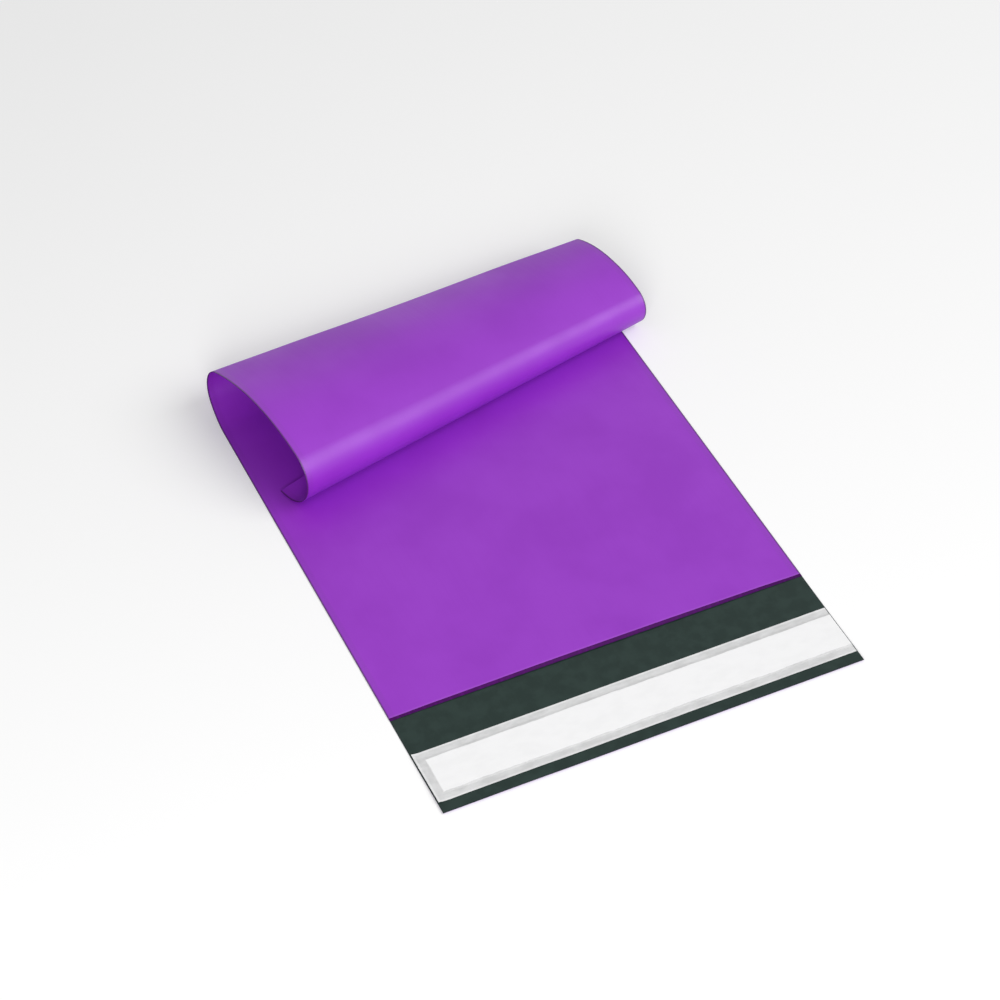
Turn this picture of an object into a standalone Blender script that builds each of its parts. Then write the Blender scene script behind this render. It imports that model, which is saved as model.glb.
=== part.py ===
"""Poly mailer bag, lying flat with its closed end curled up and over towards the mouth.

The bag is first laid out flat: x runs across it from its left edge, y runs from the free end of the
lip to the closed end, and z is the height above the table. The closed end is then curled. Film bends
but doesn't stretch, so the curl is a cone: it is made of bends about axes that all pass through one
apex, off the bag's right side. Lengths are in metres and angles in degrees.
"""

import math

import bmesh
import bpy
from mathutils import Matrix, Vector

# The bag, laid out flat
BAG_WIDTH = 0.170
BODY_LENGTH = 0.300
LIP_LENGTH = 0.047
FILM_THICKNESS = 0.00007
POCKET_GAP = 0.0003
SIDE_WELD = 0.003
BOTTOM_FOLD = 0.0006

# The closing strip on the lip
LINER_INSET = 0.0048
LINER_WIDTH = 0.0242
LINER_END_GAP = 0.0004
LINER_THICKNESS = 0.00006
GLUE_INSET = 0.004
GLUE_START = 0.0042
GLUE_THICKNESS = 0.00012
STRIP_GAP = 0.0001

# The curl: film beyond the line where it leaves the table, measured on the two side edges
LIFTED_LEFT = 0.136
LIFTED_RIGHT = 0.1135
APEX_DISTANCE = 0.546

# The curl's bends, each with its radius on the bag's left edge
RISE_RADIUS = 0.024
RISE_TURN = 37.0
CROWN_RADIUS = 0.010
CROWN_TURN = 120.0
FRONT_RADIUS = 0.084
TIP_RADIUS = 0.0117
TAIL_LIFT = 4.0
TAIL_RADIUS = 0.050
REST_GAP = 0.0003

# How finely the bends are cut into flat facets
FACET_TURN = 4.0

FLAT_LENGTH = LIP_LENGTH + BODY_LENGTH
BAG_THICKNESS = 2 * FILM_THICKNESS + POCKET_GAP
MOST_FRONT_TURN = 120.0
MOST_TAIL_TURN = 170.0


class Bend:
    """One stretch of the curl, in which the film turns about a fixed axis through the apex."""

    def __init__(self, start, direction, normal, radius, turn):
        """start is the angle at the apex where the bend begins, direction the ruling that it begins on."""
        self.start = start
        self.direction = direction
        self.normal = normal
        self.turn = turn
        curvature = APEX_DISTANCE / radius
        self.end = start + math.radians(turn) / curvature
        axis = -(normal + curvature * direction)
        self.axis = axis.normalized()
        self.rate = axis.length

    def frame(self, angle):
        """The ruling's direction and the film's upper side there, at this angle at the apex."""
        turned = Matrix.Rotation(self.rate * (angle - self.start), 3, self.axis)
        return turned @ self.direction, turned @ self.normal

    def cuts(self):
        """The angles at which this bend is cut into facets."""
        count = max(1, math.ceil(self.turn / FACET_TURN))
        return [self.start + (self.end - self.start) * step / count for step in range(count)]


class Curl:
    """The cone that the film's closed end is bent to."""

    def __init__(self):
        slope = (LIFTED_LEFT - LIFTED_RIGHT) / BAG_WIDTH
        lift_line = FLAT_LENGTH - LIFTED_LEFT
        self.apex = Vector((APEX_DISTANCE, lift_line + slope * APEX_DISTANCE, 0))
        self.lift_angle = math.atan(slope)
        self.last = self.angle(0, FLAT_LENGTH)
        self.last = max(self.last, self.angle(BAG_WIDTH, FLAT_LENGTH))
        self.bends = self.resting_bends()

    def angle(self, x, y):
        """How far round the apex a point of the flat film lies, from the line where it leaves the table."""
        return self.lift_angle - math.atan2(self.apex.y - y, self.apex.x - x)

    def chain(self, front_turn):
        """The bends in order, for one turn of the slope that comes down in front."""
        tip_turn = 360 + TAIL_LIFT - RISE_TURN - CROWN_TURN - front_turn
        stretches = (
            (RISE_RADIUS, RISE_TURN),
            (CROWN_RADIUS, CROWN_TURN),
            (FRONT_RADIUS, front_turn),
            (TIP_RADIUS, tip_turn),
            (TAIL_RADIUS, MOST_TAIL_TURN),
        )
        angle = 0.0
        direction = Vector((-math.cos(self.lift_angle), -math.sin(self.lift_angle), 0))
        normal = Vector((0, 0, 1))
        bends = []
        for radius, turn in stretches:
            bend = Bend(angle, direction, normal, radius, turn)
            bends.append(bend)
            angle = bend.end
            direction, normal = bend.frame(angle)
        return bends

    def tip_height(self, front_turn):
        """The tip's lowest height, on the right edge, where the cone is smallest."""
        tip = self.chain(front_turn)[3]
        reach = APEX_DISTANCE - BAG_WIDTH
        return min(reach * tip.frame(angle)[0].z for angle in tip.cuts())

    def resting_bends(self):
        """The bends whose tip comes to rest on the front panel."""
        low, high = 0.0, MOST_FRONT_TURN
        for _ in range(40):
            middle = (low + high) / 2
            if self.tip_height(middle) > BAG_THICKNESS + REST_GAP:
                low = middle
            else:
                high = middle
        return self.chain(low)

    def cuts(self):
        """Every angle at which the film is cut into facets."""
        return [angle for bend in self.bends for angle in bend.cuts() if angle < self.last]

    def place(self, flat):
        """Where a point of the flat bag goes."""
        angle = self.angle(flat.x, flat.y)
        if angle <= 0:
            return flat.copy()
        reach = math.hypot(self.apex.x - flat.x, self.apex.y - flat.y)
        bend = next(bend for bend in reversed(self.bends) if bend.start <= angle)
        direction, normal = bend.frame(angle)
        return self.apex + reach * direction + flat.z * normal


def clear_scene():
    for existing in list(bpy.data.objects):
        bpy.data.objects.remove(existing)


def plastic(name, colour, roughness):
    """A material of one colour, given in linear values."""
    made = bpy.data.materials.new(name)
    made.use_nodes = True
    shader = made.node_tree.nodes["Principled BSDF"]
    shader.inputs["Base Color"].default_value = (*colour, 1)
    shader.inputs["Roughness"].default_value = roughness
    shader.inputs["Metallic"].default_value = 0
    return made


def skin_of_cells(xs, ys, zs, filled):
    """The closed skin round the filled cells of a grid with these lines."""
    mesh = bmesh.new()
    corners = {}

    def corner(i, j, k):
        if (i, j, k) not in corners:
            corners[i, j, k] = mesh.verts.new((xs[i], ys[j], zs[k]))
        return corners[i, j, k]

    size = (len(xs) - 1, len(ys) - 1, len(zs) - 1)
    cells = [(i, j, k) for i in range(size[0]) for j in range(size[1]) for k in range(size[2])]
    solid = {cell for cell in cells if filled(*cell)}
    for cell in solid:
        for axis in range(3):
            for side in (0, 1):
                beyond = list(cell)
                beyond[axis] += 2 * side - 1
                if tuple(beyond) in solid:
                    continue
                across, along = (axis + 1) % 3, (axis + 2) % 3
                ring = []
                for step_across, step_along in ((0, 0), (1, 0), (1, 1), (0, 1)):
                    point = list(cell)
                    point[axis] += side
                    point[across] += step_across
                    point[along] += step_along
                    ring.append(corner(*point))
                mesh.faces.new(ring if side else ring[::-1])
    return mesh


def round_fold(mesh):
    """Rounds the two long edges of the fold at the closed end."""
    edge_radius = 0.45 * BAG_THICKNESS
    long_edges = [
        edge
        for edge in mesh.edges
        if all(abs(end.co.y - FLAT_LENGTH) < 1e-7 for end in edge.verts)
        and abs(edge.verts[0].co.z - edge.verts[1].co.z) < 1e-7
        and (edge.verts[0].co.z < 1e-7 or edge.verts[0].co.z > BAG_THICKNESS - 1e-7)
    ]
    bmesh.ops.bevel(mesh, geom=long_edges, offset=edge_radius, segments=3, profile=0.5, affect="EDGES")
    bmesh.ops.dissolve_degenerate(mesh, dist=1e-7, edges=mesh.edges)


def add_object(name, mesh, made_of):
    data = bpy.data.meshes.new(name)
    mesh.to_mesh(data)
    mesh.free()
    data.materials.append(made_of)
    data.shade_smooth()
    data.set_sharp_from_angle(angle=math.radians(30))
    piece = bpy.data.objects.new(name, data)
    bpy.context.collection.objects.link(piece)
    return piece


def bag_film():
    """Back panel, lip and front panel: one film, folded at the closed end and welded at the sides."""
    xs = (0, SIDE_WELD, BAG_WIDTH - SIDE_WELD, BAG_WIDTH)
    ys = (0, LIP_LENGTH, FLAT_LENGTH - BOTTOM_FOLD, FLAT_LENGTH)
    zs = (0, FILM_THICKNESS, FILM_THICKNESS + POCKET_GAP, BAG_THICKNESS)

    def filled(across, along, up):
        back_panel = up == 0
        front_panel = up == 2 and along > 0
        joined = up == 1 and along > 0 and (across != 1 or along == 2)
        return back_panel or front_panel or joined

    mesh = skin_of_cells(xs, ys, zs, filled)
    round_fold(mesh)
    curl = Curl()
    for angle in curl.cuts():
        heading = curl.lift_angle - angle
        across_ruling = (-math.sin(heading), math.cos(heading), 0)
        everything = mesh.verts[:] + mesh.edges[:] + mesh.faces[:]
        bmesh.ops.bisect_plane(mesh, geom=everything, dist=1e-7, plane_co=curl.apex, plane_no=across_ruling)
    for point in mesh.verts:
        point.co = curl.place(point.co)
    return add_object("bag_film", mesh, plastic("purple_film", (0.33, 0.055, 0.58), 0.35))


def strip(name, left, right, near, far, bottom, thickness, made_of):
    """A flat strip on the lip."""
    mesh = skin_of_cells((left, right), (near, far), (bottom, bottom + thickness), lambda *cell: True)
    return add_object(name, mesh, made_of)


def adhesive_strip():
    return strip(
        "adhesive_strip",
        GLUE_START,
        BAG_WIDTH - LINER_END_GAP,
        LINER_INSET + GLUE_INSET,
        LINER_INSET + LINER_WIDTH - GLUE_INSET,
        FILM_THICKNESS + STRIP_GAP,
        GLUE_THICKNESS,
        plastic("white_glue", (0.80, 0.80, 0.78), 0.5),
    )


def release_liner():
    return strip(
        "release_liner",
        LINER_END_GAP,
        BAG_WIDTH - LINER_END_GAP,
        LINER_INSET,
        LINER_INSET + LINER_WIDTH,
        FILM_THICKNESS + STRIP_GAP + GLUE_THICKNESS + STRIP_GAP,
        LINER_THICKNESS,
        plastic("liner_film", (0.74, 0.74, 0.76), 0.4),
    )


def stand_on_origin(pieces):
    """Moves the bag so that the middle of its bounding box's base is the origin."""
    points = [piece.matrix_world @ point.co for piece in pieces for point in piece.data.vertices]
    middle_x = (min(point.x for point in points) + max(point.x for point in points)) / 2
    middle_y = (min(point.y for point in points) + max(point.y for point in points)) / 2
    for piece in pieces:
        piece.data.transform(Matrix.Translation((-middle_x, -middle_y, 0)))


def main():
    clear_scene()
    pieces = [bag_film(), adhesive_strip(), release_liner()]
    stand_on_origin(pieces)


main()
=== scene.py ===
"""A plastic mailer bag, lying flat with its closed end curled up and over towards the mouth.

Each piece is first drawn on the flat bag, where x runs across from the left edge, y runs from the free
end of the lip to the closed end, and z is the height above the table. The curl then bends the film
about axes through one apex, off the bag's right side. Lengths are in metres, angles in radians.
"""

import math

import bmesh
import bpy
from bpy.props import FloatProperty, FloatVectorProperty, PointerProperty
from bpy.types import Operator, Panel, PropertyGroup
from mathutils import Matrix, Vector, noise


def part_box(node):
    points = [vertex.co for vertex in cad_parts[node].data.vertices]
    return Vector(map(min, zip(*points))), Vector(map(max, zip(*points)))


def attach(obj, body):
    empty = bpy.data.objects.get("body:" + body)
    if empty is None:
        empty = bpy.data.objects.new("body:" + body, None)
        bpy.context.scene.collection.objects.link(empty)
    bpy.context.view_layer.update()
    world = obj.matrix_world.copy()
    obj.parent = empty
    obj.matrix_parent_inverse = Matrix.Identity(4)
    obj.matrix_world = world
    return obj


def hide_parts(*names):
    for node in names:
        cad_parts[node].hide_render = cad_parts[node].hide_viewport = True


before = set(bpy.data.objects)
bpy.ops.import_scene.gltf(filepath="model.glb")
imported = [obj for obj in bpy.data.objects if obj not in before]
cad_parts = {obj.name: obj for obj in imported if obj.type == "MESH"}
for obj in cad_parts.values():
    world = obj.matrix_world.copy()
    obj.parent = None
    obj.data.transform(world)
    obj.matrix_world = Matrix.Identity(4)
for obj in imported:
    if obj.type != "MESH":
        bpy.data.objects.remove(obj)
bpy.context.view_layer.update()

BAG_CORNER = Vector(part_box("bag_film")[0])

# How many faces the pieces have
PANEL_COLUMNS = 38
LIP_ROWS = 16
PANEL_ROWS = 40
CLOSED_END_ROWS = 8
WELD_COLUMNS = 3
SHADED_HEM_ROWS = 4
GLUE_COLUMNS = 110
LINER_COLUMNS = 120
FEWEST_FILM_FACES = 1000

# The skin is creased where it turns by more degrees than these
FILM_CREASE = 38
STRIP_CREASE = 60

# How many specks of each pattern fit in a metre, along each axis
FILM_CLOUDS = (26, 26, 26)
FILM_LINES = (900, 14, 1)
FILM_GRAIN = (1500, 1500, 1500)
FILM_DENTS = (75, 75, 75)
EDGE_NIPS = (700, 300, 1)
INSIDE_MOTTLE = (160, 160, 160)
INSIDE_LINES = (800, 16, 1)
INSIDE_DENTS = (90, 90, 90)
GLUE_LUMPS = (420, 420, 420)
GLUE_SMEARS = (40, 260, 1)
LINER_MOTTLE = (110, 190, 110)
LINER_LINES = (16, 700, 1)
LINER_RAGS = (90, 90, 1)
FLOOR_CLOUDS = (3, 3, 3)

# Depth of the finest relief, the pitch of the ribs pressed into the welds, and how strongly surfaces shine
FILM_RELIEF = 0.00010
FINE_RELIEF = 0.00008
RIB_PITCH = 0.0009
OUTSIDE_SHINE = 0.62
EDGE_SHINE = 0.10
INSIDE_SHINE = 0.22

SENSOR_WIDTH = 36

bl_info = {
    "name": "Plastic Mailer Bag",
    "version": (1, 0, 0),
    "blender": (4, 5, 0),
    "location": "3D View > Sidebar > Mailer Bag",
    "description": "Makes a mailer bag with a curled closed end and a closing strip, on a plain stage",
    "category": "Add Mesh",
}


def length(name, description, default):
    """A length that a user may change."""
    return FloatProperty(name=name, description=description, default=default, unit="LENGTH", precision=5)


def turn(name, description, degrees):
    """An angle that a user may change."""
    return FloatProperty(name=name, description=description, default=math.radians(degrees), subtype="ANGLE")


def share(name, description, default):
    """A share from 0 to 1 that a user may change."""
    return FloatProperty(name=name, description=description, default=default, min=0, max=1, subtype="FACTOR")


def amount(name, description, default):
    """A plain number that a user may change."""
    return FloatProperty(name=name, description=description, default=default, precision=4)


def colour(name, description, default):
    """A colour that a user may change, in linear values."""
    return FloatVectorProperty(
        name=name, description=description, default=default, size=3, min=0, max=1, subtype="COLOR")


def place(name, description, default):
    """A point that a user may change."""
    return FloatVectorProperty(
        name=name, description=description, default=default, size=3, subtype="TRANSLATION")


class MailerBagSizes(PropertyGroup):
    """The flat bag."""

    width: length("Width", "Across the bag, from side edge to side edge", 0.170)
    body_length: length("Body length", "From the mouth to the closed end", 0.300)
    lip_length: length("Lip length", "Back panel that runs on past the mouth", 0.047)
    film: length("Film", "Thickness of one panel of film", 0.00007)
    pocket_gap: length("Pocket gap", "Air between the two panels of the empty bag", 0.0003)
    side_weld: length("Side weld", "Width of the welded band along each side", 0.003)
    bottom_fold: length("Bottom fold", "Film that closes the end of the pocket", 0.0006)
    weld_gap: length("Weld step", "Space between the panels where the weld begins", 0.00005)


class MailerCurlSizes(PropertyGroup):
    """The curl of the closed end. Radii are measured on the bag's left edge."""

    lifted_left: length("Lifted left", "Film past the line where it leaves the table, on the left", 0.136)
    lifted_right: length("Lifted right", "Film past the line where it leaves the table, on the right", 0.1135)
    apex_distance: length("Apex distance", "From the left edge to the apex that the curl narrows to", 0.546)
    rise_radius: length("Rise radius", "Bend that lifts the film off the table", 0.024)
    rise_turn: turn("Rise turn", "How far that bend turns", 37)
    crown_radius: length("Crown radius", "Bend over the top", 0.010)
    crown_turn: turn("Crown turn", "How far that bend turns", 120)
    front_radius: length("Front radius", "Wide bend that comes down in front", 0.084)
    tip_radius: length("Tip radius", "Bend that turns the film back under", 0.0117)
    tail_lift: turn("Tail lift", "How steeply the film rises again inside the curl", 4)
    tail_radius: length("Tail radius", "Wide bend of the film inside the curl", 0.050)
    rest_gap: length("Rest gap", "Space left between the curl and the panel that it rests on", 0.0003)
    row_turn: turn("Row turn", "How far the film turns from one row of faces to the next", 3)


class MailerFilmWaves(PropertyGroup):
    """How far the thin film is from flat."""

    lip_rise: length("Lip rise", "How far the lip's free end stands off the table in places", 0.0006)
    lip_wave: length("Lip wave", "Height of the lip's shallow waves", 0.00025)
    mouth_bow: length("Mouth bow", "How far the front panel stands off the lip, mid-mouth", 0.0006)
    mouth_reach: length("Mouth reach", "How far back from the mouth the front panel bows", 0.018)
    hem_width: length("Hem width", "Edge of the front panel that is pressed down at the mouth", 0.0013)
    panel_wave: length("Panel wave", "Height of the flat panel's shallow waves", 0.00022)
    curl_wave: length("Curl wave", "Depth of the shallow dents along the curl", 0.00042)
    fall_off: length("Side fall-off", "Distance in which the pocket closes towards a side weld", 0.014)


class MailerStripSizes(PropertyGroup):
    """The closing strip on the lip."""

    liner_inset: length("Liner inset", "From the lip's free end to the liner", 0.0048)
    liner_width: length("Liner width", "Across the liner", 0.0242)
    liner_end_gap: length("Liner end gap", "From the bag's side edges to the liner's ends", 0.0004)
    liner_film: length("Liner film", "Thickness of the liner", 0.00006)
    glue_inset: length("Glue inset", "From the liner's long edges to the glue", 0.004)
    glue_start: length("Glue start", "From the bag's left edge to the glue", 0.0042)
    glue_depth: length("Glue depth", "Thickness of the glue", 0.00012)
    glue_waver: length("Glue waver", "How far the glue's edges stray from straight", 0.0003)
    strip_gap: length("Strip gap", "Space kept between the strip's layers", 0.00006)


class MailerColours(PropertyGroup):
    """Colours and finishes."""

    outside: colour("Outside", "Outer side of the film", (0.300, 0.023, 0.562))
    outside_deep: colour("Outside, deep", "Outer side where the film is thicker", (0.274, 0.017, 0.518))
    # Painted highlight: the pale line painted on the front panel just behind its pressed edge at the mouth
    mouth_edge_highlight: colour("Mouth edge highlight", "Stretched film where the mouth's pressed edge begins", (0.46, 0.16, 0.66))
    # Colour of the film's cut edges, also used as painted shade on the front panel's pressed edge at the
    # mouth and along the side edges
    cut_edge: colour("Cut edge", "Cut edges, and the pressed edge at the mouth", (0.055, 0.002, 0.090))
    inside: colour("Inside", "Inner side of the film", (0.010, 0.024, 0.020))
    inside_pale: colour("Inside, pale", "Paler patches on the inner side of the film", (0.016, 0.033, 0.028))
    glue: colour("Glue", "The adhesive", (0.90, 0.90, 0.89))
    liner: colour("Liner", "The release liner", (0.97, 0.97, 0.975))
    outside_gloss: share("Outside roughness", "Roughness of the film's outer side", 0.46)
    inside_gloss: share("Inside roughness", "Roughness of the film's inner side", 0.42)
    liner_cover: share("Liner cover", "How much of what is under it each side of the liner hides", 0.57)
    wetted_cover: share("Wetted cover", "The same where the liner is wetted by the glue under it", 0.98)


class MailerStage(PropertyGroup):
    """Floor, light and camera."""

    floor_size: length("Floor size", "Across the floor", 8.0)
    floor_drop: length("Floor drop", "How far the floor lies below the bag", 0.0001)
    floor_lift: amount("Floor lift", "Light added to the floor where the camera sees it", 0.13)
    sky: amount("Sky", "Strength of the even light from all round", 0.40)
    front_lamp: amount("Front lamp", "Strength of the front lamp on a surface that faces it", 0.42)
    front_azimuth: turn("Front azimuth", "Where the front lamp stands, with 0 on the -Y side", -28)
    front_elevation: turn("Front elevation", "How high the front lamp stands", 28)
    front_distance: length("Front distance", "From the bag to the front lamp", 1.15)
    front_size: length("Front size", "Across the front lamp", 0.55)
    side_lamp: amount("Side lamp", "Strength of the side lamp on a surface that faces it", 0.54)
    side_azimuth: turn("Side azimuth", "Where the side lamp stands", 52)
    side_elevation: turn("Side elevation", "How high the side lamp stands", 44)
    side_distance: length("Side distance", "From the bag to the side lamp", 2.2)
    side_size: length("Side size", "Across the side lamp", 1.9)
    camera_place: place("Camera place", "Where the camera stands", (-0.347749, -0.722357, 0.821319))
    camera_target: place("Camera target", "What the camera looks at", (-0.006146, 0.008654, 0.0))
    lens: amount("Lens", "Focal length in millimetres on a 36 mm sensor", 106.88)


def step(value, low, high):
    """0 below low, 1 above high, and a smooth rise between them."""
    part = min(max((value - low) / (high - low), 0.0), 1.0)
    return part * part * (3 - 2 * part)


def blend(first, second, part):
    """This part of the way from first to second."""
    return first + (second - first) * part


def wave(x, y, size, seed):
    """Smooth unevenness from -1 to 1, about this size from crest to crest."""
    return noise.noise(Vector((x / size, y / size, seed)))


def swell(x, y, size, seed):
    """The same unevenness, from 0 to 1."""
    return 0.5 + 0.5 * wave(x, y, size, seed)


class Bend:
    """One stretch of the curl, in which the film turns about a fixed axis through the apex."""

    def __init__(self, start, direction, normal, apex_distance, radius, turned):
        """start is the angle at the apex where the bend begins, direction the ruling that it begins on."""
        self.start = start
        self.direction = direction
        self.normal = normal
        self.radius = radius
        self.turned = turned
        curvature = apex_distance / radius
        self.end = start + turned / curvature
        axis = -(normal + curvature * direction)
        self.axis = axis.normalized()
        self.rate = axis.length

    def frame(self, angle):
        """The ruling's direction and the film's upper side there, at this angle at the apex."""
        turned = Matrix.Rotation(self.rate * (angle - self.start), 3, self.axis)
        return turned @ self.direction, turned @ self.normal

    def rows(self, row_turn):
        """The angles at which this bend gets a row of faces."""
        count = max(1, math.ceil(self.turned / row_turn))
        return [blend(self.start, self.end, row / count) for row in range(count)]


class Curl:
    """The cone that the film's closed end is bent to."""

    most_front_turn = math.radians(120)
    most_tail_turn = math.radians(170)
    halvings = 40

    def __init__(self, bag, sizes):
        self.sizes = sizes
        self.bag = bag
        self.flat_length = bag.lip_length + bag.body_length
        slope = (sizes.lifted_left - sizes.lifted_right) / bag.width
        lift_line = self.flat_length - sizes.lifted_left
        self.apex = Vector((sizes.apex_distance, lift_line + slope * sizes.apex_distance, 0))
        self.lift_angle = math.atan(slope)
        self.bends = self.resting_bends()

    def angle(self, x, y):
        """How far round the apex a point of the flat film lies, from the line where it leaves the table."""
        return self.lift_angle - math.atan2(self.apex.y - y, self.apex.x - x)

    def ruling(self, x, angle):
        """Where a ruling crosses the flat bag at this x."""
        return self.apex.y - (self.apex.x - x) * math.tan(self.lift_angle - angle)

    def chain(self, front_turn):
        """The bends in order, for one turn of the slope that comes down in front."""
        sizes = self.sizes
        tip_turn = 2 * math.pi + sizes.tail_lift - sizes.rise_turn - sizes.crown_turn - front_turn
        stretches = (
            (sizes.rise_radius, sizes.rise_turn),
            (sizes.crown_radius, sizes.crown_turn),
            (sizes.front_radius, front_turn),
            (sizes.tip_radius, tip_turn),
            (sizes.tail_radius, self.most_tail_turn),
        )
        angle = 0.0
        direction = Vector((-math.cos(self.lift_angle), -math.sin(self.lift_angle), 0))
        normal = Vector((0, 0, 1))
        bends = []
        for radius, turned in stretches:
            bend = Bend(angle, direction, normal, sizes.apex_distance, radius, turned)
            bends.append(bend)
            angle = bend.end
            direction, normal = bend.frame(angle)
        return bends

    def tip_height(self, front_turn):
        """The tip's lowest height, on the right edge, where the cone is smallest."""
        tip = self.chain(front_turn)[3]
        reach = self.sizes.apex_distance - self.bag.width
        return min(reach * tip.frame(angle)[0].z for angle in tip.rows(math.radians(1)))

    def resting_bends(self):
        """The bends whose tip comes to rest on the front panel."""
        thickness = 2 * self.bag.film + self.bag.pocket_gap
        low, high = 0.0, self.most_front_turn
        for _ in range(self.halvings):
            middle = (low + high) / 2
            if self.tip_height(middle) > thickness + self.sizes.rest_gap:
                low = middle
            else:
                high = middle
        return self.chain(low)


class FlatFilm:
    """Heights of the film's layers above the table, before the closed end is curled."""

    # The panel's waves fade out between these distances before the line where it leaves the table
    fade_from, fade_to = 0.075, 0.050

    def __init__(self, bag, waves, curl):
        self.bag = bag
        self.waves = waves
        self.curl = curl

    def in_curl(self, x, y):
        """1 where the film is free to wave: 0 by the table, the tip and the closed end."""
        angle = self.curl.angle(x, y)
        tip = self.curl.bends[3]
        free = step(angle, 0.006, 0.030) * (1 - step(angle, tip.start, (tip.start + tip.end) / 2))
        return free + step(angle, tip.end + 0.001, tip.end + 0.006) * 0.4

    def underside(self, x, y):
        """Height of the back panel's underside: never below the table on the flat part."""
        bag, waves = self.bag, self.waves
        off_end = 1 - step(y, 0, bag.lip_length * 0.8)
        rise = waves.lip_rise * off_end * off_end * (0.35 + 0.65 * swell(x, y, 0.060, 3.1))
        near_mouth = step(y, bag.lip_length * 0.55, bag.lip_length)
        rise += waves.lip_wave * (1 - near_mouth) * swell(x, y * 0.6, 0.034, 7.7)
        angle = self.curl.angle(x, y)
        dent = wave(x, angle * 0.4, 0.075, 5.3) + 0.5 * wave(x, angle, 0.030, 1.9)
        return rise - waves.curl_wave * self.in_curl(x, y) * dent

    def lip_top(self, x, y):
        """Height of the back panel's upper side, which the closing strip lies on."""
        return self.underside(x, y) + self.bag.film

    def gap(self, x, y):
        """Space between the panels: closed at the welds, and a little open at the mouth."""
        bag, waves = self.bag, self.waves
        inside = min(x, bag.width - x) - bag.side_weld
        plump = step(inside, 0, waves.fall_off)
        lift_line = self.curl.ruling(x, 0)
        free = 1 - step(y, lift_line - self.fade_from, lift_line - self.fade_to)
        gap = blend(bag.weld_gap, bag.pocket_gap, plump)
        gap += plump * free * waves.panel_wave * (0.45 + 0.55 * wave(x, y, 0.047, 11.3))
        past_mouth = y - bag.lip_length
        wide = step(inside, 0, bag.width * 0.42)
        gap += waves.mouth_bow * wide * math.exp(-((past_mouth / waves.mouth_reach) ** 2))
        pressed = 1 - step(past_mouth, 0, waves.hem_width)
        return blend(gap, min(gap, bag.weld_gap * 2), pressed * 0.8)

    def layers(self, x, y):
        """Heights of the back panel's two sides and the front panel's two sides."""
        bag = self.bag
        bottom = self.underside(x, y)
        top = bottom + 2 * bag.film + self.gap(x, y)
        half = (top - bottom) / 2
        to_fold = self.curl.flat_length - y
        if to_fold < half:
            half *= math.sqrt(max(1 - ((half - to_fold) / half) ** 2, 0.01))
            middle = (top + bottom) / 2
            bottom, top = middle - half, middle + half
        film = min(bag.film, half * 0.45)
        return bottom, bottom + film, top - film, top


def even(first, last, count):
    """Evenly spaced values, with first but without last."""
    return [blend(first, last, number / count) for number in range(count)]


def columns_across(width, weld):
    """Where the columns of faces stand, closer together by the side edges."""
    near = [0, weld * 0.35, weld * 0.7, weld, weld + 0.0012, weld + 0.0030, weld + 0.0055, weld + 0.0090]
    middle = even(near[-1], width - near[-1], PANEL_COLUMNS)[1:]
    return near + middle + [width - x for x in reversed(near)]


def rows_along(bag, waves, curl, columns):
    """Rows of faces from the lip's end to the closed end, each a list with a y for each column."""
    lip, end = bag.lip_length, curl.flat_length
    before_mouth = lip - 0.001
    levels = [0, 0.0006, 0.0015] + even(0.003, before_mouth, LIP_ROWS)
    hem = waves.hem_width
    mouth = [0, hem * 0.25, hem * 0.5, hem * 0.75, hem, hem * 1.5, hem * 2.2, 0.0045, 0.007, 0.010, 0.014]
    levels += [before_mouth] + [lip + past for past in mouth]
    rows = [[level] * len(columns) for level in levels]
    mouth_row = rows.index([lip] * len(columns))
    calm = lip + 0.018
    rows += [[blend(calm, curl.ruling(x, 0), part) for x in columns] for part in even(0, 1, PANEL_ROWS)]
    level_end = 0.008
    last_ruling = curl.angle(0, end - level_end)
    angles = [angle for bend in curl.bends for angle in bend.rows(curl.sizes.row_turn) if angle < last_ruling]
    rows += [[curl.ruling(x, angle) for x in columns] for angle in angles]
    last_full = [curl.ruling(x, last_ruling) for x in columns]
    before_fold = end - bag.bottom_fold
    rows += [[blend(y, before_fold, part) for y in last_full] for part in even(0, 1, CLOSED_END_ROWS)]
    fold_row = len(rows)
    round_the_fold = (bag.bottom_fold, 0.0004, 0.00028, 0.00018, 0.0001, 0.00004, 0)
    rows += [[end - back] * len(columns) for back in round_the_fold]
    return rows, mouth_row, fold_row


FILM_MARKS = ("inner_side", "cut_edge")


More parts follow.
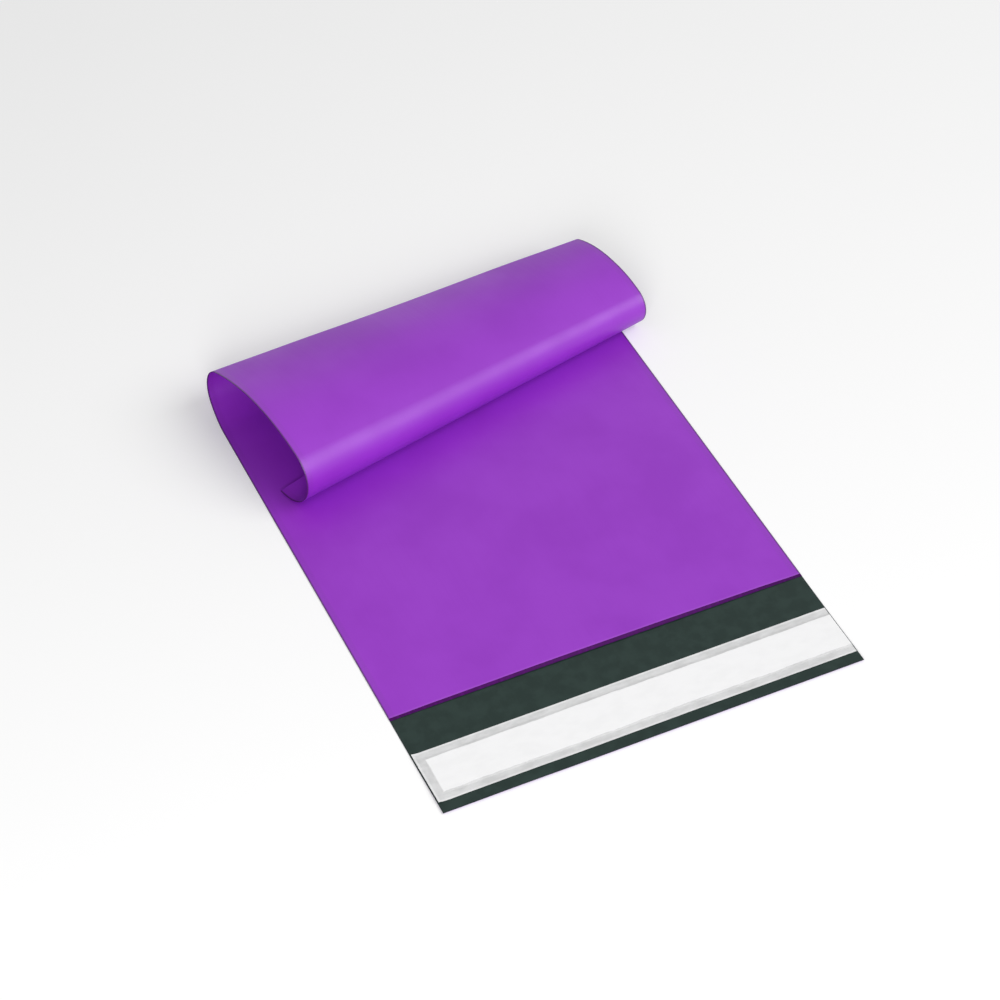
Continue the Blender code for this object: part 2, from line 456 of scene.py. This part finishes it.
def skin(name, columns, rows, layers, filled, mark=None):
    """The closed skin round the filled cells of a grid.

    layers gives the heights of a point's layers, and filled says whether a cell between layers is film.
    mark gives a face one of FILM_MARKS or nothing, from its cell, its axis and its side of the cell.
    The flat pattern is kept as a UV map, one unit to the metre.
    """
    heights = [[layers(x, y) for x, y in zip(columns, row)] for row in rows]
    mesh = bmesh.new()
    marks = {kind: mesh.faces.layers.bool.new(kind) for kind in FILM_MARKS}
    corners = {}

    def corner(point):
        if point not in corners:
            i, j, k = point
            corners[point] = mesh.verts.new((columns[i], rows[j][i], heights[j][i][k]))
        return corners[point]

    size = (len(columns) - 1, len(rows) - 1, len(heights[0][0]) - 1)
    every = ((i, j, k) for i in range(size[0]) for j in range(size[1]) for k in range(size[2]))
    cells = {cell for cell in every if filled(*cell)}
    for cell in sorted(cells):
        for axis in range(3):
            for side in (0, 1):
                beyond = list(cell)
                beyond[axis] += 2 * side - 1
                if tuple(beyond) in cells:
                    continue
                across, along = (axis + 1) % 3, (axis + 2) % 3
                ring = []
                for step_across, step_along in ((0, 0), (1, 0), (1, 1), (0, 1)):
                    point = list(cell)
                    point[axis] += side
                    point[across] += step_across
                    point[along] += step_along
                    ring.append(corner(tuple(point)))
                face = mesh.faces.new(ring if side else ring[::-1])
                face.smooth = True
                marked = mark and mark(cell, axis, side)
                if marked:
                    face[marks[marked]] = True
    pattern = mesh.loops.layers.uv.new("pattern")
    for face in mesh.faces:
        for loop in face.loops:
            loop[pattern].uv = loop.vert.co.xy
    data = bpy.data.meshes.new(name)
    mesh.to_mesh(data)
    mesh.free()
    piece = bpy.data.objects.new(name, data)
    bpy.context.scene.collection.objects.link(piece)
    return piece


class Wiring:
    """Adds nodes to a tree and joins them up."""

    def __init__(self, tree):
        self.tree = tree

    def feed(self, socket, value):
        if isinstance(value, bpy.types.NodeSocket):
            self.tree.links.new(value, socket)
        else:
            socket.default_value = value

    def node(self, kind, inputs, **settings):
        """A new node. inputs maps its sockets' names or numbers to values or to other nodes' sockets."""
        made = self.tree.nodes.new(kind)
        for name, value in settings.items():
            setattr(made, name, value)
        for name, value in inputs.items():
            self.feed(made.inputs[name], value)
        return made

    def maths(self, operation, first, second=0.0):
        return self.node("ShaderNodeMath", {0: first, 1: second}, operation=operation).outputs[0]

    def clamped(self, value, low, high):
        return self.node("ShaderNodeClamp", {"Value": value, "Min": low, "Max": high}).outputs[0]

    def ramp(self, value, low, high, start=0.0, end=1.0):
        """A smooth rise from start to end as the value goes from low to high."""
        inputs = {"Value": value, "From Min": low, "From Max": high, "To Min": start, "To Max": end}
        return self.node("ShaderNodeMapRange", inputs, interpolation_type="SMOOTHSTEP").outputs[0]

    def vector(self, operation, *terms):
        made = self.node("ShaderNodeVectorMath", dict(enumerate(terms)), operation=operation)
        return made.outputs[1 if operation == "LENGTH" else 0]

    def scaled(self, vector, by):
        return self.node("ShaderNodeVectorMath", {0: vector, "Scale": by}, operation="SCALE").outputs[0]

    def combined(self, x, y, z):
        return self.node("ShaderNodeCombineXYZ", {0: x, 1: y, 2: z}).outputs[0]

    def mixed(self, part, first, second):
        """first and second, two colours, mixed."""
        inputs = {0: part, 6: first, 7: second}
        return self.node("ShaderNodeMix", inputs, data_type="RGBA").outputs[2]


BEND_NAMES = ("Rise", "Crown", "Front", "Tip", "Tail")
CURL_INPUTS = {
    "Corner": "NodeSocketVector",
    "Apex": "NodeSocketVector",
    "Lift Angle": "NodeSocketFloat",
    "Apex Distance": "NodeSocketFloat",
    **{f"{bend} {size}": "NodeSocketFloat" for bend in BEND_NAMES for size in ("Radius", "Turn")},
    "Outer Film": "NodeSocketMaterial",
    "Inner Film": "NodeSocketMaterial",
    "Cut Edge": "NodeSocketMaterial",
}


def curl_tree():
    """The node tree that curls a flat bag and gives its two sides their materials."""
    tree = bpy.data.node_groups.new("film_curl", "GeometryNodeTree")
    tree.interface.new_socket(name="Geometry", in_out="INPUT", socket_type="NodeSocketGeometry")
    for name, kind in CURL_INPUTS.items():
        tree.interface.new_socket(name=name, in_out="INPUT", socket_type=kind)
    tree.interface.new_socket(name="Geometry", in_out="OUTPUT", socket_type="NodeSocketGeometry")
    wires = Wiring(tree)
    given = wires.node("NodeGroupInput", {}).outputs
    lift, apex = given["Lift Angle"], given["Apex"]

    flat = wires.node("GeometryNodeInputPosition", {}).outputs[0]
    to_apex = wires.node("ShaderNodeSeparateXYZ", {0: wires.vector("SUBTRACT", apex, flat)}).outputs
    height = wires.node("ShaderNodeSeparateXYZ", {0: flat}).outputs[2]
    angle = wires.maths("SUBTRACT", lift, wires.maths("ARCTAN2", to_apex[1], to_apex[0]))
    reach = wires.vector("LENGTH", wires.combined(to_apex[0], to_apex[1], 0.0))

    west = wires.maths("MULTIPLY", wires.maths("COSINE", lift), -1.0)
    south = wires.maths("MULTIPLY", wires.maths("SINE", lift), -1.0)
    ruling = wires.combined(west, south, 0.0)
    placed = wires.vector("ADD", wires.scaled(ruling, reach), wires.combined(0.0, 0.0, height))

    bends = []
    start = 0.0
    for name in BEND_NAMES:
        curvature = wires.maths("DIVIDE", given["Apex Distance"], given[name + " Radius"])
        span = wires.maths("DIVIDE", given[name + " Turn"], curvature)
        bends.append((start, span, curvature))
        start = wires.maths("ADD", start, span)
    for start, span, curvature in reversed(bends):
        part = wires.clamped(wires.maths("SUBTRACT", angle, start), 0.0, span)
        slant = wires.vector("ADD", wires.scaled(ruling, curvature), (0.0, 0.0, 1.0))
        inputs = {
            "Vector": placed,
            "Center": (0.0, 0.0, 0.0),
            "Axis": wires.scaled(slant, -1.0),
            "Angle": wires.maths("MULTIPLY", part, wires.vector("LENGTH", slant)),
        }
        placed = wires.node("ShaderNodeVectorRotate", inputs, rotation_type="AXIS_ANGLE").outputs[0]
    placed = wires.vector("ADD", placed, apex)
    curled = wires.maths("GREATER_THAN", angle, 0.0)
    inputs = {"Switch": curled, "False": flat, "True": placed}
    chosen = wires.node("GeometryNodeSwitch", inputs, input_type="VECTOR")
    moved = wires.vector("ADD", chosen.outputs[0], given["Corner"])
    inputs = {"Geometry": given["Geometry"], "Position": moved}
    shaped = wires.node("GeometryNodeSetPosition", inputs).outputs[0]

    finished = wires.node("GeometryNodeRealizeInstances", {0: shaped}).outputs[0]
    inputs = {"Geometry": finished, "Material": given["Outer Film"]}
    finished = wires.node("GeometryNodeSetMaterial", inputs).outputs[0]
    for mark, side in zip(FILM_MARKS, ("Inner Film", "Cut Edge")):
        marked = wires.node("GeometryNodeInputNamedAttribute", {"Name": mark}, data_type="BOOLEAN").outputs[0]
        inputs = {"Geometry": finished, "Selection": marked, "Material": given[side]}
        finished = wires.node("GeometryNodeSetMaterial", inputs).outputs[0]
    wires.node("NodeGroupOutput", {0: finished})
    return tree


def curled(piece, values):
    """Runs the curl's tree on a piece with these inputs, and keeps the plain mesh that comes out."""
    tree = curl_tree()
    modifier = piece.modifiers.new("curl", "NODES")
    modifier.node_group = tree
    for socket in tree.interface.items_tree:
        if socket.in_out == "INPUT" and socket.name in values:
            modifier[socket.identifier] = values[socket.name]
    bpy.context.view_layer.update()
    depsgraph = bpy.context.evaluated_depsgraph_get()
    made = bpy.data.meshes.new_from_object(piece.evaluated_get(depsgraph), depsgraph=depsgraph)
    piece.modifiers.remove(modifier)
    piece.data = made


def finish_edges(piece, degrees):
    """Smooth faces, with a crease wherever the skin turns by more than this."""
    piece.data.shade_smooth()
    piece.data.set_sharp_from_angle(angle=math.radians(degrees))


def new_material(name):
    """A material, with the wiring of its tree and its shader."""
    made = bpy.data.materials.new(name)
    made.use_nodes = True
    return made, Wiring(made.node_tree), made.node_tree.nodes["Principled BSDF"]


def in_space(wires):
    """The place of a point on the finished piece."""
    return wires.node("ShaderNodeTexCoord", {}).outputs["Object"]


def on_pattern(wires):
    """The place of a point on the flat pattern."""
    return wires.node("ShaderNodeUVMap", {}, uv_map="pattern").outputs[0]


def speckle(wires, where, stretch, detail=2.0):
    """Uneven values from 0 to 1. stretch is how many of them fit in a metre, along each axis."""
    mapped = wires.node("ShaderNodeMapping", {"Vector": where, "Scale": stretch}).outputs[0]
    inputs = {"Vector": mapped, "Scale": 1.0, "Detail": detail, "Roughness": 0.55}
    return wires.node("ShaderNodeTexNoise", inputs).outputs[0]


def bumped(wires, shader, height, distance, strength):
    """Lets the height roughen the surface. distance is in metres."""
    inputs = {"Height": height, "Distance": distance, "Strength": strength}
    wires.feed(shader.inputs["Normal"], wires.node("ShaderNodeBump", inputs).outputs[0])


def outer_film_material(colours, bag, waves):
    """Satin purple film: faint clouds, draw lines along the bag, pressed side welds, painted shade as a dark
    outline along the side edges, and a painted highlight along the mouth's pressed edge.
    """
    made, wires, shader = new_material("outer_film")
    solid, pattern = in_space(wires), on_pattern(wires)
    across, along = wires.node("ShaderNodeSeparateXYZ", {0: pattern}).outputs[:2]
    clouds = speckle(wires, solid, FILM_CLOUDS, 3.0)
    lines = speckle(wires, pattern, FILM_LINES)
    grain = speckle(wires, solid, FILM_GRAIN)
    dents = speckle(wires, solid, FILM_DENTS)

    base = wires.mixed(wires.ramp(clouds, 0.35, 0.68), (*colours.outside, 1), (*colours.outside_deep, 1))
    streaked = wires.mixed(wires.ramp(lines, 0.50, 0.72, 0.0, 0.18), base, (*colours.outside_deep, 1))
    to_edge = wires.maths("MINIMUM", across, wires.maths("SUBTRACT", bag.width, across))
    weld = wires.ramp(to_edge, bag.side_weld * 0.85, bag.side_weld * 1.05, 1.0, 0.0)
    # Painted shade: a dark outline painted on the film within 0.8 mm of each side edge
    rim = wires.ramp(to_edge, 0.0002, 0.0008, 1.0, 0.0)
    weld_tone, edge_shade_tone, weld_gloss = 0.07, 0.80, 0.05
    dull_weld = wires.maths("MULTIPLY", weld, weld_tone)
    # The weld's own slightly darker tone, plus the painted shade along the side edges, towards the dark edge
    # colour
    weld_and_edge_shade = wires.maths("ADD", dull_weld, wires.maths("MULTIPLY", rim, edge_shade_tone))
    welded = wires.mixed(weld_and_edge_shade, streaked, (*colours.cut_edge, 1))
    # Painted highlight: a pale line painted on the front panel just behind its pressed edge at the mouth
    highlight_line = bag.lip_length + waves.hem_width + 0.0002
    from_highlight_line = wires.maths("ABSOLUTE", wires.maths("SUBTRACT", along, highlight_line))
    painted_highlight = wires.ramp(from_highlight_line, 0.0001, 0.0007, 0.20, 0.0)
    wires.feed(shader.inputs["Base Color"], wires.mixed(painted_highlight, welded, (*colours.mouth_edge_highlight, 1)))

    rough = wires.ramp(clouds, 0.3, 0.7, colours.outside_gloss - 0.03, colours.outside_gloss + 0.04)
    rough = wires.maths("ADD", rough, wires.maths("MULTIPLY", wires.maths("SUBTRACT", lines, 0.5), 0.10))
    rough = wires.maths("SUBTRACT", rough, wires.maths("MULTIPLY", weld, weld_gloss))
    wires.feed(shader.inputs["Roughness"], rough)

    grain_part, line_part, rib_part, dent_part = 0.20, 0.25, 0.22, 1.1
    ribbed = wires.maths("SINE", wires.maths("MULTIPLY", along, 2 * math.pi / RIB_PITCH))
    ribs = wires.maths("MULTIPLY", wires.maths("MULTIPLY", ribbed, weld), rib_part)
    grained = wires.maths("MULTIPLY", grain, grain_part)
    height = wires.maths("ADD", grained, wires.maths("MULTIPLY", lines, line_part))
    height = wires.maths("ADD", wires.maths("ADD", height, ribs), wires.maths("MULTIPLY", dents, dent_part))
    bumped(wires, shader, height, FILM_RELIEF, 0.55)
    shader.inputs["Specular IOR Level"].default_value = OUTSIDE_SHINE
    return made


def cut_edge_and_shade_material(colours):
    """Cut edges, and painted shade on the pressed edge of the front panel: darker and duller than the film
    beside them.
    """
    made, wires, shader = new_material("cut_edge_film")
    nips = speckle(wires, on_pattern(wires), EDGE_NIPS)
    pale = tuple(1.5 * part for part in colours.cut_edge)
    base = wires.mixed(wires.ramp(nips, 0.4, 0.75), (*colours.cut_edge, 1), (*pale, 1))
    wires.feed(shader.inputs["Base Color"], base)
    shader.inputs["Specular IOR Level"].default_value = EDGE_SHINE
    wires.feed(shader.inputs["Roughness"], wires.ramp(nips, 0.3, 0.7, 0.50, 0.60))
    bumped(wires, shader, nips, FINE_RELIEF, 0.4)
    return made


def inner_film_material(colours):
    """Dark inner side of the film: slightly mottled, with faint draw lines."""
    made, wires, shader = new_material("inner_film")
    solid = in_space(wires)
    mottle = speckle(wires, solid, INSIDE_MOTTLE, 3.0)
    lines = speckle(wires, on_pattern(wires), INSIDE_LINES)
    dents = speckle(wires, solid, INSIDE_DENTS)
    base = wires.mixed(wires.ramp(mottle, 0.38, 0.66), (*colours.inside, 1), (*colours.inside_pale, 1))
    base = wires.mixed(wires.ramp(lines, 0.52, 0.74, 0.0, 0.30), base, (*colours.inside_pale, 1))
    wires.feed(shader.inputs["Base Color"], base)
    shader.inputs["Specular IOR Level"].default_value = INSIDE_SHINE
    rough = wires.ramp(mottle, 0.3, 0.7, colours.inside_gloss - 0.04, colours.inside_gloss + 0.05)
    wires.feed(shader.inputs["Roughness"], rough)
    height = wires.maths("ADD", wires.maths("MULTIPLY", lines, 0.3), dents)
    bumped(wires, shader, height, FILM_RELIEF, 0.5)
    return made


def glue_material(colours):
    """White hot-melt glue with a slightly uneven skin."""
    made, wires, shader = new_material("closing_glue")
    lumps = speckle(wires, in_space(wires), GLUE_LUMPS, 3.0)
    smears = speckle(wires, on_pattern(wires), GLUE_SMEARS)
    shade = tuple(0.93 * part for part in colours.glue)
    base = wires.mixed(wires.ramp(smears, 0.4, 0.7), (*colours.glue, 1), (*shade, 1))
    wires.feed(shader.inputs["Base Color"], base)
    wires.feed(shader.inputs["Roughness"], wires.ramp(lumps, 0.3, 0.7, 0.40, 0.55))
    bumped(wires, shader, lumps, FINE_RELIEF, 0.5)
    return made


def liner_material(colours, bag, strip):
    """Milky release film that the dark lip shows through, paler along its own cut edges."""
    made, wires, shader = new_material("liner_film")
    pattern = on_pattern(wires)
    across, along = wires.node("ShaderNodeSeparateXYZ", {0: pattern}).outputs[:2]
    mottle = speckle(wires, in_space(wires), LINER_MOTTLE, 3.0)
    lines = speckle(wires, pattern, LINER_LINES)
    shade = tuple(0.97 * part for part in colours.liner)
    base = wires.mixed(wires.ramp(mottle, 0.35, 0.70), (*colours.liner, 1), (*shade, 1))
    wires.feed(shader.inputs["Base Color"], base)
    near = wires.maths("SUBTRACT", along, strip.liner_inset)
    far = wires.maths("SUBTRACT", strip.liner_inset + strip.liner_width, along)
    end = wires.maths("SUBTRACT", across, strip.liner_end_gap)
    to_edge = wires.maths("MINIMUM", wires.maths("MINIMUM", near, far), end)
    rim = wires.ramp(to_edge, 0.0004, 0.0012, 0.14, 0.0)
    cloudy = wires.ramp(mottle, 0.35, 0.68, 0.045, -0.055)
    cover = wires.maths("ADD", wires.maths("ADD", rim, cloudy), colours.liner_cover)
    from_start = wires.maths("ADD", wires.maths("SUBTRACT", across, strip.glue_start), strip.glue_inset)
    inner = wires.maths("MINIMUM", wires.maths("MINIMUM", near, far), from_start)
    uneven = wires.maths("SUBTRACT", speckle(wires, pattern, LINER_RAGS, 3.0), 0.5)
    raggedness = 0.0014
    over_glue = wires.maths("ADD", inner, wires.maths("MULTIPLY", uneven, raggedness))
    wetted = wires.ramp(over_glue, strip.glue_inset - 0.0003, strip.glue_inset + 0.0003)
    still_clear = wires.maths("SUBTRACT", colours.wetted_cover, cover)
    cover = wires.maths("ADD", cover, wires.maths("MULTIPLY", wetted, still_clear))
    wires.feed(shader.inputs["Alpha"], wires.clamped(cover, 0.0, 1.0))
    wires.feed(shader.inputs["Roughness"], wires.ramp(mottle, 0.3, 0.7, 0.32, 0.42))
    height = wires.maths("ADD", mottle, wires.maths("MULTIPLY", lines, 0.3))
    bumped(wires, shader, height, FINE_RELIEF, 0.5)
    return made


def put_on_frame(piece, node):
    """Hands a finished piece to the frame in place of its CAD node."""
    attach(piece, "root")
    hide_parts(node)


def film_shape(scene):
    """The flat film, from the sizes that the scene holds."""
    curl = Curl(scene.mailer_bag, scene.mailer_curl)
    return FlatFilm(scene.mailer_bag, scene.mailer_waves, curl)


class MAILER_OT_bag_film(Operator):
    """Make the bag itself: back panel, lip and front panel, in one film with its closed end curled"""

    bl_idname = "mailer.bag_film"
    bl_label = "Bag Film"

    def execute(self, context):
        scene = context.scene
        bag, waves, colours = scene.mailer_bag, scene.mailer_waves, scene.mailer_colours
        film = film_shape(scene)
        curl = film.curl
        columns = columns_across(bag.width, bag.side_weld)
        rows, mouth_row, fold_row = rows_along(bag, waves, curl, columns)
        last_column = len(columns) - 1

        def filled(across, along, up):
            back_panel = up == 0
            front_panel = up == 2 and along >= mouth_row
            welded = across < WELD_COLUMNS or across >= last_column - WELD_COLUMNS
            joined = up == 1 and along >= mouth_row and (welded or along >= fold_row)
            return back_panel or front_panel or joined

        def mark(cell, axis, side):
            across, along, up = cell
            if axis == 2 and up + side in (1, 2) or axis == 0 and 0 < across + side < last_column:
                return "inner_side"
            # The front panel's pressed edge at the mouth gets the dark edge material as painted shade
            shaded_hem = mouth_row <= along < mouth_row + SHADED_HEM_ROWS and up > 0
            return "cut_edge" if axis == 0 or axis == 1 and along == 0 or shaded_hem else None

        piece = skin("mailer_film", columns, rows, film.layers, filled, mark)
        values = {
            "Corner": (BAG_CORNER.x, BAG_CORNER.y, 0.0),
            "Apex": tuple(curl.apex),
            "Lift Angle": curl.lift_angle,
            "Apex Distance": scene.mailer_curl.apex_distance,
            "Outer Film": outer_film_material(colours, bag, waves),
            "Inner Film": inner_film_material(colours),
            "Cut Edge": cut_edge_and_shade_material(colours),
        }
        for name, bend in zip(BEND_NAMES, curl.bends):
            values[name + " Radius"] = bend.radius
            values[name + " Turn"] = bend.turned
        curled(piece, values)
        finish_edges(piece, FILM_CREASE)
        if len(piece.data.polygons) < FEWEST_FILM_FACES:
            raise RuntimeError("the curled film came out without its faces")
        put_on_frame(piece, "bag_film")
        return {"FINISHED"}


def strip_columns(left, right, count):
    """Columns of a strip, closer together at its ends."""
    near = (0, 0.00008, 0.0003, 0.0008, 0.0018)
    middle = even(left + near[-1], right - near[-1], count)[1:]
    return [left + x for x in near] + middle + [right - x for x in reversed(near)]


def crowned(to_edge, width):
    """Height of a rounded bead, as a share of its depth, at this distance from its edge."""
    part = min(max(to_edge / width, 0.0), 1.0)
    return math.sqrt(1 - (1 - part) ** 2)


def glue_edges(strip):
    """The glue's near and far edge on the flat bag."""
    near = strip.liner_inset + strip.glue_inset
    return near, strip.liner_inset + strip.liner_width - strip.glue_inset


class MAILER_OT_glue(Operator):
    """Make the closing strip's adhesive, a thin bead with slightly wavering edges"""

    bl_idname = "mailer.glue"
    bl_label = "Glue"

    def execute(self, context):
        scene = context.scene
        bag, strip = scene.mailer_bag, scene.mailer_strip
        film = film_shape(scene)
        left, right = strip.glue_start, bag.width - strip.liner_end_gap
        near, far = glue_edges(strip)
        columns = strip_columns(left, right, GLUE_COLUMNS)
        side_round, end_round = 0.0007, 0.0003
        parts = (0, 0.004, 0.018, 0.05, 0.12, 0.25, 0.4, 0.5, 0.6, 0.75, 0.88, 0.95, 0.982, 0.996, 1)

        def across_strip(x, part):
            low = near + strip.glue_waver * wave(x, 0, 0.013, 2.7)
            high = far + strip.glue_waver * wave(x, 0, 0.011, 8.1)
            return blend(low, high, part)

        rows = [[across_strip(x, part) for x in columns] for part in parts]

        def layers(x, y):
            bottom = film.lip_top(x, y) + strip.strip_gap * 0.5
            to_side = min(y - across_strip(x, 0), across_strip(x, 1) - y)
            bead = min(crowned(to_side, side_round), crowned(x - left, side_round))
            bead = min(bead, crowned(right - x, end_round))
            uneven = 0.90 + 0.10 * wave(x, y, 0.006, 4.4)
            return bottom, bottom + strip.glue_depth * (0.12 + 0.88 * bead) * uneven

        piece = skin("closing_glue", columns, rows, layers, lambda *cell: True)
        piece.data.transform(Matrix.Translation((BAG_CORNER.x, BAG_CORNER.y, 0)))
        piece.data.materials.append(glue_material(scene.mailer_colours))
        finish_edges(piece, STRIP_CREASE)
        put_on_frame(piece, "adhesive_strip")
        return {"FINISHED"}


class MAILER_OT_liner(Operator):
    """Make the release liner, a thin translucent film that settles over the glue"""

    bl_idname = "mailer.liner"
    bl_label = "Release Liner"

    def execute(self, context):
        scene = context.scene
        bag, strip = scene.mailer_bag, scene.mailer_strip
        film = film_shape(scene)
        left, right = strip.liner_end_gap, bag.width - strip.liner_end_gap
        near, far = strip.liner_inset, strip.liner_inset + strip.liner_width
        columns = strip_columns(left, right, LINER_COLUMNS)
        glue_near, glue_far = glue_edges(strip)
        by_edge = (0, 0.0003, 0.0009, 0.0016)
        outside_glue, inside_glue = 0.0010, 0.0012
        levels = [near + part for part in by_edge[:-1]]
        levels += even(near + by_edge[-1], glue_near - outside_glue, 4)
        levels += even(glue_near - outside_glue, glue_near + inside_glue, 8)
        levels += even(glue_near + inside_glue, glue_far - inside_glue, 10)
        levels += even(glue_far - inside_glue, glue_far + outside_glue, 8)
        levels += even(glue_far + outside_glue, far - by_edge[-1], 4)
        levels += [far - part for part in reversed(by_edge)]
        rows = [[level] * len(columns) for level in levels]

        def layers(x, y):
            over_glue = step(min(y - glue_near, glue_far - y), -0.0010, -0.0001)
            over_glue *= step(x - strip.glue_start, -0.0012, -0.0001)
            lifted = (strip.glue_depth + strip.strip_gap) * over_glue
            to_long_edge = min(y - near, far - y)
            ruffle = 0.00010 * (1 - step(to_long_edge, 0, 0.0035)) * swell(x, y, 0.016, 6.2)
            end_curl = 0.00045 * (1 - step(x - left, 0, 0.0038)) ** 2
            bottom = film.lip_top(x, y) + strip.strip_gap + lifted + ruffle + end_curl
            return bottom, bottom + strip.liner_film

        piece = skin("release_film", columns, rows, layers, lambda *cell: True)
        piece.data.transform(Matrix.Translation((BAG_CORNER.x, BAG_CORNER.y, 0)))
        piece.data.materials.append(liner_material(scene.mailer_colours, bag, strip))
        finish_edges(piece, STRIP_CREASE)
        put_on_frame(piece, "release_liner")
        return {"FINISHED"}


def seen_directly(wires):
    """1 for rays from the camera, from mirrors and through clear film, and 0 for those that light things."""
    rays = wires.node("ShaderNodeLightPath", {}).outputs
    seen = wires.maths("MAXIMUM", rays["Is Camera Ray"], rays["Is Glossy Ray"])
    return wires.maths("MAXIMUM", seen, rays["Is Transmission Ray"])


def floor_material(stage):
    """Pale matt floor that looks white and keeps the bag's shadow."""
    made, wires, shader = new_material("pale_floor")
    cloud = speckle(wires, in_space(wires), FLOOR_CLOUDS)
    darker, paler = (0.90, 0.90, 0.90, 1), (0.92, 0.92, 0.92, 1)
    wires.feed(shader.inputs["Base Color"], wires.mixed(cloud, darker, paler))
    shader.inputs["Roughness"].default_value = 0.9
    shader.inputs["Specular IOR Level"].default_value = 0.0
    shader.inputs["Emission Color"].default_value = (1, 1, 1, 1)
    lift = wires.maths("MULTIPLY", seen_directly(wires), stage.floor_lift)
    wires.feed(shader.inputs["Emission Strength"], lift)
    return made


def towards(azimuth, elevation):
    """The direction to something that stands at this azimuth and elevation."""
    level = math.cos(elevation)
    return Vector((math.sin(azimuth) * level, -math.cos(azimuth) * level, math.sin(elevation)))


def aimed(thing, target):
    """Turns a lamp or a camera towards a point."""
    thing.rotation_euler = (target - thing.location).to_track_quat("-Z", "Y").to_euler()


class MAILER_OT_stage(Operator):
    """Make the pale floor, the soft light and the camera"""

    bl_idname = "mailer.stage"
    bl_label = "Stage"

    def execute(self, context):
        scene = context.scene
        stage = scene.mailer_stage
        half = stage.floor_size / 2
        mesh = bmesh.new()
        bmesh.ops.create_grid(mesh, x_segments=1, y_segments=1, size=half)
        bmesh.ops.translate(mesh, verts=mesh.verts, vec=(0, 0, -stage.floor_drop))
        data = bpy.data.meshes.new("pale_floor")
        mesh.to_mesh(data)
        mesh.free()
        data.materials.append(floor_material(stage))
        floor = bpy.data.objects.new("pale_floor", data)
        scene.collection.objects.link(floor)

        world = bpy.data.worlds.new("even_light")
        world.use_nodes = True
        scene.world = world
        wires = Wiring(world.node_tree)
        brightness = wires.ramp(seen_directly(wires), 0.0, 1.0, stage.sky, 1.0)
        wires.feed(world.node_tree.nodes["Background"].inputs["Color"], (1, 1, 1, 1))
        wires.feed(world.node_tree.nodes["Background"].inputs["Strength"], brightness)

        target = stage.camera_target
        for name in ("front", "side"):
            parts = ("lamp", "azimuth", "elevation", "distance", "size")
            values = [getattr(stage, f"{name}_{part}") for part in parts]
            strength, azimuth, elevation, distance, size = values
            lamp_data = bpy.data.lights.new(name + "_lamp", "AREA")
            lamp_data.shape = "DISK"
            lamp_data.size = size
            lamp_data.energy = strength * math.pi ** 2 * distance ** 2
            lamp = bpy.data.objects.new(name + "_lamp", lamp_data)
            scene.collection.objects.link(lamp)
            lamp.location = target + distance * towards(azimuth, elevation)
            aimed(lamp, target)

        camera_data = bpy.data.cameras.new("camera")
        camera_data.lens = stage.lens
        camera_data.sensor_width = SENSOR_WIDTH
        camera = bpy.data.objects.new("camera", camera_data)
        scene.collection.objects.link(camera)
        camera.location = stage.camera_place
        aimed(camera, target)
        scene.camera = camera
        scene.view_settings.view_transform = "Standard"
        return {"FINISHED"}


class MAILER_PT_panel(Panel):
    """The mailer bag's operators and sizes"""

    bl_idname = "MAILER_PT_panel"
    bl_label = "Mailer Bag"
    bl_space_type = "VIEW_3D"
    bl_region_type = "UI"
    bl_category = "Mailer Bag"

    def draw(self, context):
        for operator in OPERATORS:
            self.layout.operator(operator.bl_idname)
        for holder, kind in GROUPS:
            box = self.layout.box()
            for name in kind.__annotations__:
                box.prop(getattr(context.scene, holder), name)


OPERATORS = (MAILER_OT_bag_film, MAILER_OT_glue, MAILER_OT_liner, MAILER_OT_stage)
GROUPS = (
    ("mailer_bag", MailerBagSizes),
    ("mailer_curl", MailerCurlSizes),
    ("mailer_waves", MailerFilmWaves),
    ("mailer_strip", MailerStripSizes),
    ("mailer_colours", MailerColours),
    ("mailer_stage", MailerStage),
)


def register():
    for holder, kind in GROUPS:
        bpy.utils.register_class(kind)
        setattr(bpy.types.Scene, holder, PointerProperty(type=kind))
    for kind in (*OPERATORS, MAILER_PT_panel):
        bpy.utils.register_class(kind)


def unregister():
    for kind in reversed((*OPERATORS, MAILER_PT_panel)):
        bpy.utils.unregister_class(kind)
    for holder, kind in reversed(GROUPS):
        delattr(bpy.types.Scene, holder)
        bpy.utils.unregister_class(kind)


def main():
    register()
    bpy.ops.mailer.bag_film()
    bpy.ops.mailer.glue()
    bpy.ops.mailer.liner()
    bpy.ops.mailer.stage()
    bpy.context.view_layer.update()


if __name__ == "__main__":
    main()
